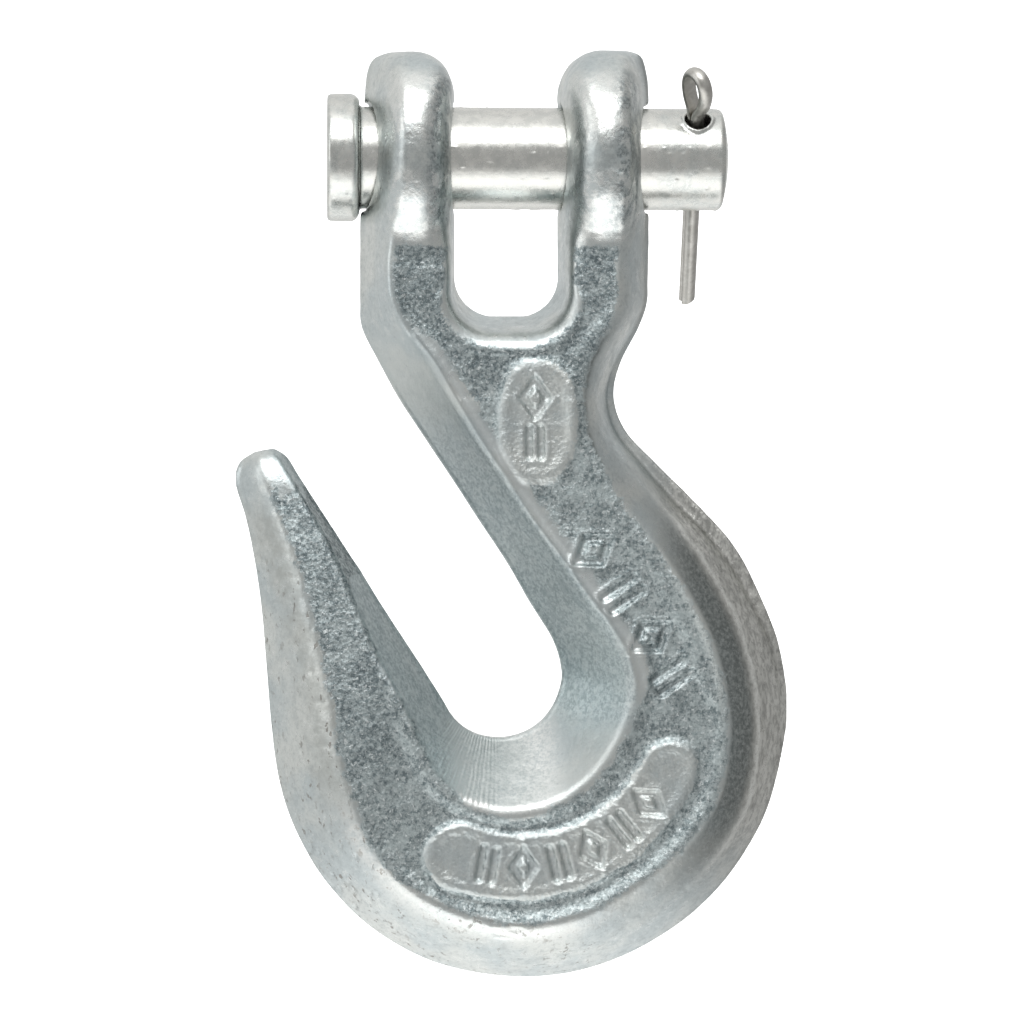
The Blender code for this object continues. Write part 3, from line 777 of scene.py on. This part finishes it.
def make_mixed_mesh(name, vertices, quads, triangles):
    """A smooth-shaded object from vertices in millimetres, quads and triangles."""
    mesh = bpy.data.meshes.new(name)
    faces = [tuple(f) for f in quads.tolist()] + [tuple(f) for f in triangles.tolist()]
    mesh.from_pydata((vertices * MM).tolist(), [], faces)
    mesh.polygons.foreach_set("use_smooth", np.ones(len(faces), dtype=bool))
    mesh.update()
    piece = bpy.data.objects.new(name, mesh)
    bpy.context.scene.collection.objects.link(piece)
    return piece


class Nodes:
    """Short calls for building one material's node tree."""

    def __init__(self, name):
        self.material = bpy.data.materials.new(name)
        self.material.use_nodes = True
        self.tree = self.material.node_tree
        self.shader = self.tree.nodes["Principled BSDF"]
        self.place = self.add("ShaderNodeTexCoord").outputs["Object"]

    def add(self, kind, **settings):
        node = self.tree.nodes.new(kind)
        for key, value in settings.items():
            setattr(node, key, value)
        return node

    def set(self, socket, value):
        """Links the value if it is a socket, or else stores it."""
        if isinstance(value, bpy.types.NodeSocket):
            self.tree.links.new(value, socket)
        else:
            socket.default_value = value

    def noise(self, size, detail=2.0, roughness=0.5, stretch=(1.0, 1.0, 1.0), distortion=0.0):
        """Noise whose features are about that many millimetres across."""
        mapping = self.add("ShaderNodeMapping")
        self.set(mapping.inputs["Vector"], self.place)
        mapping.inputs["Scale"].default_value = [s / (size * MM) for s in stretch]
        node = self.add("ShaderNodeTexNoise")
        self.set(node.inputs["Vector"], mapping.outputs["Vector"])
        node.inputs["Scale"].default_value = 1.0
        node.inputs["Detail"].default_value = detail
        node.inputs["Roughness"].default_value = roughness
        node.inputs["Distortion"].default_value = distortion
        return node.outputs["Fac"]

    def cells(self, size):
        """Voronoi cells about that many millimetres across."""
        mapping = self.add("ShaderNodeMapping")
        self.set(mapping.inputs["Vector"], self.place)
        mapping.inputs["Scale"].default_value = [1.0 / (size * MM)] * 3
        node = self.add("ShaderNodeTexVoronoi", feature="F1")
        self.set(node.inputs["Vector"], mapping.outputs["Vector"])
        node.inputs["Scale"].default_value = 1.0
        return node.outputs["Distance"]

    def span(self, value, low, high, new_low=0.0, new_high=1.0):
        """The value's stretch from low to high, mapped to the new range and held there."""
        node = self.add("ShaderNodeMapRange", interpolation_type="SMOOTHSTEP")
        self.set(node.inputs["Value"], value)
        for key, number in (("From Min", low), ("From Max", high), ("To Min", new_low), ("To Max", new_high)):
            node.inputs[key].default_value = number
        return node.outputs["Result"]

    def math(self, operation, a, b=0.0):
        node = self.add("ShaderNodeMath", operation=operation)
        self.set(node.inputs[0], a)
        self.set(node.inputs[1], b)
        return node.outputs[0]

    def mix(self, share, a, b):
        """Colours a and b mixed by the share."""
        node = self.add("ShaderNodeMix", data_type="RGBA")
        self.set(node.inputs[0], share)
        self.set(node.inputs[6], a)
        self.set(node.inputs[7], b)
        return node.outputs[2]

    def blend(self, share, a, b):
        """Numbers a and b mixed by the share."""
        node = self.add("ShaderNodeMix", data_type="FLOAT")
        self.set(node.inputs[0], share)
        self.set(node.inputs[2], a)
        self.set(node.inputs[3], b)
        return node.outputs[0]

    def rays(self, centre, count):
        """Lines that run out from a point of the front view, in millimetres, as a wave from -1 to 1."""
        parts = self.add("ShaderNodeSeparateXYZ")
        self.set(parts.inputs[0], self.place)
        x = self.math("SUBTRACT", parts.outputs["X"], centre[0] * MM)
        z = self.math("SUBTRACT", parts.outputs["Z"], centre[1] * MM)
        wander = self.math("MULTIPLY", self.noise(4.0), 6.0)
        angle = self.math("MULTIPLY", self.math("ARCTAN2", z, x), count)
        return self.math("SINE", self.math("ADD", angle, wander))

    def attribute(self, name):
        node = self.add("ShaderNodeAttribute", attribute_name=name)
        return node.outputs["Fac"]

    def bump(self, height, distance, strength=1.0, below=None):
        node = self.add("ShaderNodeBump")
        self.set(node.inputs["Height"], height)
        node.inputs["Distance"].default_value = distance * MM
        self.set(node.inputs["Strength"], strength)
        if below is not None:
            self.set(node.inputs["Normal"], below)
        return node.outputs["Normal"]


def forged_zinc():
    """Zinc plate on the forging: satin on the trimmed sides, dark and crystalline on the as-forged faces,
    with highlights and shade painted into the colour in places.
    """
    n = Nodes("forged_zinc")
    forged = n.attribute("as_forged")
    pad = n.attribute("pads")
    scale = n.attribute("scale")
    forged = n.math("MULTIPLY", forged, n.span(pad, 0.0, 1.0, 1.0, 0.18))
    grain = n.noise(0.52, 6.0, 0.8)
    broken = n.math("ADD", forged, n.span(grain, 0.3, 0.7, -0.45, 0.45))
    forged = n.math("MULTIPLY", n.span(broken, 0.3, 0.62), n.span(forged, 0.02, 0.2))
    clumps = n.noise(2.4, 4.0, 0.72)
    clouds = n.noise(9.0, 3.0, 0.55)
    mottle = n.noise(1.5, 5.0, 0.7)
    streaks = n.noise(0.62, 6.0, 0.72, stretch=(1.0, 1.0, 0.55), distortion=0.3)
    drift = n.noise(3.2, 3.0, 0.6)
    satin = n.mix(n.span(clouds, 0.35, 0.65), (0.545, 0.60, 0.61, 1.0), (0.67, 0.695, 0.675, 1.0))
    satin = n.mix(n.span(mottle, 0.50, 0.68, 0.0, 0.45), satin, (0.44, 0.48, 0.485, 1.0))
    satin = n.mix(n.span(mottle, 0.46, 0.34, 0.0, 0.35), satin, (0.76, 0.78, 0.76, 1.0))
    satin = n.mix(n.span(grain, 0.50, 0.66, 0.0, 0.45), satin, (0.36, 0.395, 0.40, 1.0))
    satin = n.mix(n.span(grain, 0.44, 0.34, 0.0, 0.5), satin, (0.80, 0.825, 0.81, 1.0))
    coined = n.mix(n.span(grain, 0.40, 0.60), (0.31, 0.375, 0.395, 1.0), (0.65, 0.715, 0.72, 1.0))
    coined = n.mix(n.span(mottle, 0.50, 0.66, 0.0, 0.6), coined, (0.70, 0.75, 0.745, 1.0))
    coined = n.mix(n.span(clumps, 0.46, 0.36, 0.0, 0.5), coined, (0.33, 0.395, 0.415, 1.0))
    satin = n.mix(n.math("MULTIPLY", n.attribute("throat"), 0.8), satin, coined)
    # Painted highlight: the throat's floor, which faces up to the light, is coloured lighter.
    floor_highlight = n.math("MULTIPLY", n.attribute("floor"), n.span(grain, 0.60, 0.40, 0.3, 1.0))
    satin = n.mix(floor_highlight, satin, (0.86, 0.875, 0.86, 1.0))
    blotch = n.span(n.noise(1.7, 6.0, 0.75), 0.44, 0.53)
    # Painted highlight: lighter colour, and lower roughness, on the spots of the ears' crests.
    knob_highlight = n.math("MULTIPLY", n.attribute("knob_highlight"), n.span(n.noise(1.1, 5.0, 0.7), 0.56, 0.44, 0.35, 1.0))
    tarnish_and_shade = n.math("MULTIPLY", n.attribute("tarnish_and_shade"), blotch)
    satin = n.mix(n.math("MULTIPLY", knob_highlight, 0.75), satin, (0.80, 0.81, 0.79, 1.0))
    dull_pad = n.math("MULTIPLY", pad, n.span(mottle, 0.4, 0.6, 0.35, 0.05))
    satin = n.mix(dull_pad, satin, (0.52, 0.555, 0.545, 1.0))
    # Painted shade on the ears, partly tarnish: dark mottling on their right-facing sides and on a band at
    # the pin's height.
    tarnish_shade = n.mix(n.span(grain, 0.38, 0.62), (0.17, 0.20, 0.21, 1.0), (0.52, 0.57, 0.575, 1.0))
    satin = n.mix(n.math("MULTIPLY", tarnish_and_shade, 0.85), satin, tarnish_shade)
    dark = n.mix(n.span(grain, 0.37, 0.62), (0.12, 0.16, 0.172, 1.0), (0.62, 0.68, 0.685, 1.0))
    dark = n.mix(n.span(clumps, 0.38, 0.55, 0.5, 0.0), dark, (0.22, 0.26, 0.27, 1.0))
    dark = n.mix(n.span(clumps, 0.45, 0.62, 0.0, 0.7), dark, (0.51, 0.575, 0.58, 1.0))
    soot = n.math("MULTIPLY", n.attribute("sooty"), n.span(n.noise(3.0, 5.0, 0.7), 0.42, 0.56, 0.3, 0.8))
    black = n.mix(n.span(grain, 0.42, 0.60), (0.115, 0.145, 0.157, 1.0), (0.40, 0.455, 0.465, 1.0))
    dark = n.mix(soot, dark, black)
    crystals = n.span(n.noise(0.40, 4.0, 0.65, distortion=0.8), 0.57, 0.66, 0.0, 0.75)
    dark = n.mix(crystals, dark, (0.82, 0.86, 0.86, 1.0))
    crust = n.mix(n.span(streaks, 0.36, 0.64), (0.27, 0.265, 0.25, 1.0), (0.52, 0.52, 0.49, 1.0))
    colour = n.mix(n.math("MULTIPLY", scale, 0.85), satin, crust)
    valley = n.mix(n.span(grain, 0.40, 0.66), (0.13, 0.15, 0.15, 1.0), (0.40, 0.43, 0.425, 1.0))
    colour = n.mix(n.math("MULTIPLY", n.attribute("shadow"), 0.85), colour, valley)
    pale = n.math("MULTIPLY", n.span(streaks, 0.40, 0.58, 0.30, 0.85), n.span(drift, 0.36, 0.56, 0.5, 1.0))
    colour = n.mix(n.math("MULTIPLY", n.attribute("crest"), pale), colour, (0.80, 0.80, 0.765, 1.0))
    # Painted highlight: a near-white, grainy line along the flash seam.
    bright = n.span(grain, 0.36, 0.56, 0.2, 1.0)
    colour = n.mix(n.math("MULTIPLY", n.attribute("seam"), bright), colour, (0.90, 0.91, 0.88, 1.0))
    # Painted highlight along the lower left rim, broken up by mottling.
    rim = n.math("MULTIPLY", n.attribute("rim"), n.span(mottle, 0.40, 0.55, 0.2, 0.7))
    colour = n.mix(rim, colour, (0.84, 0.85, 0.83, 1.0))
    dull = n.math("MULTIPLY", n.attribute("dull"), n.span(mottle, 0.36, 0.6, 0.35, 0.75))
    colour = n.mix(dull, colour, (0.43, 0.445, 0.425, 1.0))
    stains = n.math("MULTIPLY", n.attribute("rim"), n.span(n.noise(1.5, 5.0, 0.7), 0.58, 0.64))
    colour = n.mix(n.math("MULTIPLY", stains, 0.7), colour, (0.36, 0.335, 0.30, 1.0))
    band = n.math("MULTIPLY", n.attribute("band"), n.span(grain, 0.34, 0.60, 0.35, 0.85))
    colour = n.mix(band, colour, (0.72, 0.765, 0.765, 1.0))
    colour = n.mix(forged, colour, dark)
    # Painted highlight: a light, grainy line along that ridge.
    ridge = n.math("MULTIPLY", n.attribute("ridge"), n.span(grain, 0.35, 0.55))
    colour = n.mix(ridge, colour, (0.74, 0.79, 0.78, 1.0))
    specks = n.span(n.noise(0.75, 3.0, 0.55, stretch=(1.0, 1.0, 0.6)), 0.60, 0.67)
    swarm = n.span(n.noise(5.0, 3.0, 0.6), 0.42, 0.54, 0.4, 1.0)
    specks = n.math("MULTIPLY", n.math("MULTIPLY", n.attribute("pits"), specks), swarm)
    colour = n.mix(n.math("MULTIPLY", specks, 0.8), colour, (0.25, 0.235, 0.215, 1.0))
    n.set(n.shader.inputs["Base Color"], colour)
    n.shader.inputs["Metallic"].default_value = 1.0
    plain = n.blend(n.attribute("throat"), n.span(mottle, 0.3, 0.7, 0.26, 0.38), 0.44)
    plain = n.blend(n.math("MULTIPLY", pad, 0.8), plain, 0.43)
    plain = n.blend(knob_highlight, plain, 0.22)
    n.set(n.shader.inputs["Roughness"], n.blend(forged, plain, n.span(grain, 0.3, 0.7, 0.54, 0.40)))
    rough = n.math("MAXIMUM", n.math("MAXIMUM", forged, pad), n.math("MULTIPLY", scale, 0.8))
    rough = n.math("MAXIMUM", rough, n.math("MULTIPLY", tarnish_and_shade, 0.8))
    lumps = n.bump(n.noise(2.2, 4.0, 0.6), 0.16, 0.5)
    fine = n.bump(n.noise(0.40, 4.0, 0.7), 0.07, n.blend(rough, 0.30, 0.85), lumps)
    coarse = n.bump(n.cells(0.55), 0.12, n.blend(rough, 0.04, 0.45), fine)
    lines = n.bump(n.rays(THROAT_CENTRE, 150.0), 0.03, n.attribute("grooves"), coarse)
    n.set(n.shader.inputs["Normal"], n.bump(specks, -0.08, 0.6, lines))
    return n.material


def pin_zinc():
    """Smooth bright zinc on the turned pin, with faint mottling and small marks."""
    n = Nodes("pin_zinc")
    mottle = n.noise(1.4, 4.0, 0.6)
    specks = n.noise(0.4, 3.0, 0.6)
    colour = n.mix(n.span(mottle, 0.35, 0.7), (0.64, 0.645, 0.62, 1.0), (0.76, 0.755, 0.72, 1.0))
    colour = n.mix(n.span(specks, 0.60, 0.76, 0.0, 0.5), colour, (0.46, 0.48, 0.475, 1.0))
    parts = n.add("ShaderNodeSeparateXYZ")
    n.set(parts.inputs[0], n.place)
    far = n.math("ABSOLUTE", n.math("SUBTRACT", parts.outputs["X"], 0.6 * MM))
    patches = n.span(n.noise(1.6, 5.0, 0.7), 0.42, 0.58, 0.1, 0.6)
    ends = n.math("MULTIPLY", n.span(far, 17.0 * MM, 19.0 * MM), patches)
    fine = n.span(n.noise(0.4, 4.0, 0.7), 0.4, 0.6)
    colour = n.mix(ends, colour, n.mix(fine, (0.44, 0.475, 0.47, 1.0), (0.66, 0.685, 0.665, 1.0)))
    n.set(n.shader.inputs["Base Color"], colour)
    n.shader.inputs["Metallic"].default_value = 1.0
    n.set(n.shader.inputs["Roughness"], n.span(mottle, 0.3, 0.7, 0.23, 0.31))
    n.set(n.shader.inputs["Normal"], n.bump(n.noise(0.5, 4.0, 0.7), 0.03, 0.4))
    return n.material


def cotter_zinc():
    """Duller zinc on the cotter's drawn wire, with fine mottling."""
    n = Nodes("cotter_zinc")
    mottle = n.noise(0.9, 3.0, 0.6)
    colour = n.mix(n.span(mottle, 0.35, 0.7), (0.50, 0.49, 0.46, 1.0), (0.64, 0.63, 0.60, 1.0))
    n.set(n.shader.inputs["Base Color"], colour)
    n.shader.inputs["Metallic"].default_value = 1.0
    n.set(n.shader.inputs["Roughness"], n.span(mottle, 0.3, 0.7, 0.30, 0.40))
    n.set(n.shader.inputs["Normal"], n.bump(n.noise(0.4, 3.0, 0.6), 0.02, 0.3))
    return n.material


def backdrop_white():
    """The pale, even studio surface."""
    n = Nodes("studio_white")
    n.shader.inputs["Base Color"].default_value = (0.9, 0.9, 0.9, 1.0)
    n.shader.inputs["Roughness"].default_value = 0.9
    n.shader.inputs["Emission Color"].default_value = (1.0, 1.0, 1.0, 1.0)
    n.shader.inputs["Emission Strength"].default_value = 1.0
    return n.material


def make_studio():
    """A round white floor that curves up into a wall all the way round."""
    profile = [(0.0, 0.0), (FLOOR_RADIUS, 0.0)]
    for step in range(1, 13):
        angle = math.radians(7.5 * step)
        out, up = FLOOR_CURVE * math.sin(angle), FLOOR_CURVE - FLOOR_CURVE * math.cos(angle)
        profile.append((FLOOR_RADIUS + out, up))
    profile.append((FLOOR_RADIUS + FLOOR_CURVE, WALL_TOP))
    mesh = bpy.data.meshes.new("studio")
    edges = [(i, i + 1) for i in range(len(profile) - 1)]
    mesh.from_pydata([(r, 0.0, z) for r, z in profile], edges, [])
    studio = bpy.data.objects.new("studio", mesh)
    bpy.context.scene.collection.objects.link(studio)
    studio.location.z = FLOOR_Z * MM
    screw = studio.modifiers.new("round", "SCREW")
    screw.steps = 96
    screw.render_steps = 96
    screw.use_merge_vertices = True
    screw.merge_threshold = 0.0001
    screw.use_smooth_shade = True
    studio.data.materials.append(backdrop_white())
    studio.visible_glossy = False
    studio.visible_diffuse = False


def make_light(name, place, size, power):
    """A rectangular softbox at the place, in metres, that faces the hook and isn't seen itself."""
    data = bpy.data.lights.new(name, "AREA")
    data.shape = "RECTANGLE"
    data.size, data.size_y = size
    data.energy = power
    light = bpy.data.objects.new(name, data)
    bpy.context.scene.collection.objects.link(light)
    light.location = place
    light.rotation_mode = "QUATERNION"
    light.rotation_quaternion = (Vector(LIGHT_TARGET) - Vector(place)).to_track_quat("-Z", "Y")
    light.visible_camera = False


def make_lights():
    """A softbox above and a low one to the left, in an even tent that is dimmer in front and on the right."""
    make_light("top_box", TOP_BOX, (0.5, 0.3), 0.85)
    make_light("left_box", LEFT_BOX, (0.35, 0.5), 0.35)
    world = bpy.data.worlds.new("tent")
    world.use_nodes = True
    tree = world.node_tree
    background = tree.nodes["Background"]
    direction = tree.nodes.new("ShaderNodeTexCoord").outputs["Generated"]
    level = None
    for towards, low, high, value in TENT:
        dot = tree.nodes.new("ShaderNodeVectorMath")
        dot.operation = "DOT_PRODUCT"
        tree.links.new(direction, dot.inputs[0])
        dot.inputs[1].default_value = Vector(towards).normalized()
        share = tree.nodes.new("ShaderNodeMapRange")
        share.interpolation_type = "SMOOTHSTEP"
        tree.links.new(dot.outputs["Value"], share.inputs["Value"])
        share.inputs["From Min"].default_value = low
        share.inputs["From Max"].default_value = high
        blend = tree.nodes.new("ShaderNodeMix")
        blend.data_type = "FLOAT"
        tree.links.new(share.outputs["Result"], blend.inputs[0])
        if level is None:
            blend.inputs[2].default_value = TENT_FRONT
        else:
            tree.links.new(level, blend.inputs[2])
        blend.inputs[3].default_value = value
        level = blend.outputs[0]
    tree.links.new(level, background.inputs["Strength"])
    background.inputs["Color"].default_value = (1.0, 1.0, 0.99, 1.0)
    bpy.context.scene.world = world


def make_camera():
    """The camera, at the height of the aim and a little to the left of straight ahead."""
    data = bpy.data.cameras.new("camera")
    data.sensor_width = SENSOR
    data.lens = SENSOR * CAMERA_DISTANCE / FRAME_WIDTH
    camera = bpy.data.objects.new("camera", data)
    bpy.context.scene.collection.objects.link(camera)
    back = Vector((
        math.sin(CAMERA_AZIMUTH) * math.cos(CAMERA_ELEVATION),
        -math.cos(CAMERA_AZIMUTH) * math.cos(CAMERA_ELEVATION),
        math.sin(CAMERA_ELEVATION),
    ))
    camera.location = (Vector(AIM) + back * CAMERA_DISTANCE) * MM
    camera.rotation_mode = "QUATERNION"
    camera.rotation_quaternion = (-back).to_track_quat("-Z", "Y")
    data.clip_start = 0.01
    data.clip_end = 20.0
    bpy.context.scene.camera = camera


def add_piece(piece, body, node, material):
    """Gives the piece its metal, puts it on its body and lets it stand for its CAD node."""
    piece.data.materials.append(material)
    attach(piece, body)
    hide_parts(node)


make_camera()
make_studio()
make_lights()
bpy.context.scene.view_settings.view_transform = "Standard"
add_piece(make_forging(), "hook", "hook_body", forged_zinc())
add_piece(make_pin(), "pin", "clevis_pin", pin_zinc())
add_piece(make_cotter(), "cotter", "cotter_pin", cotter_zinc())
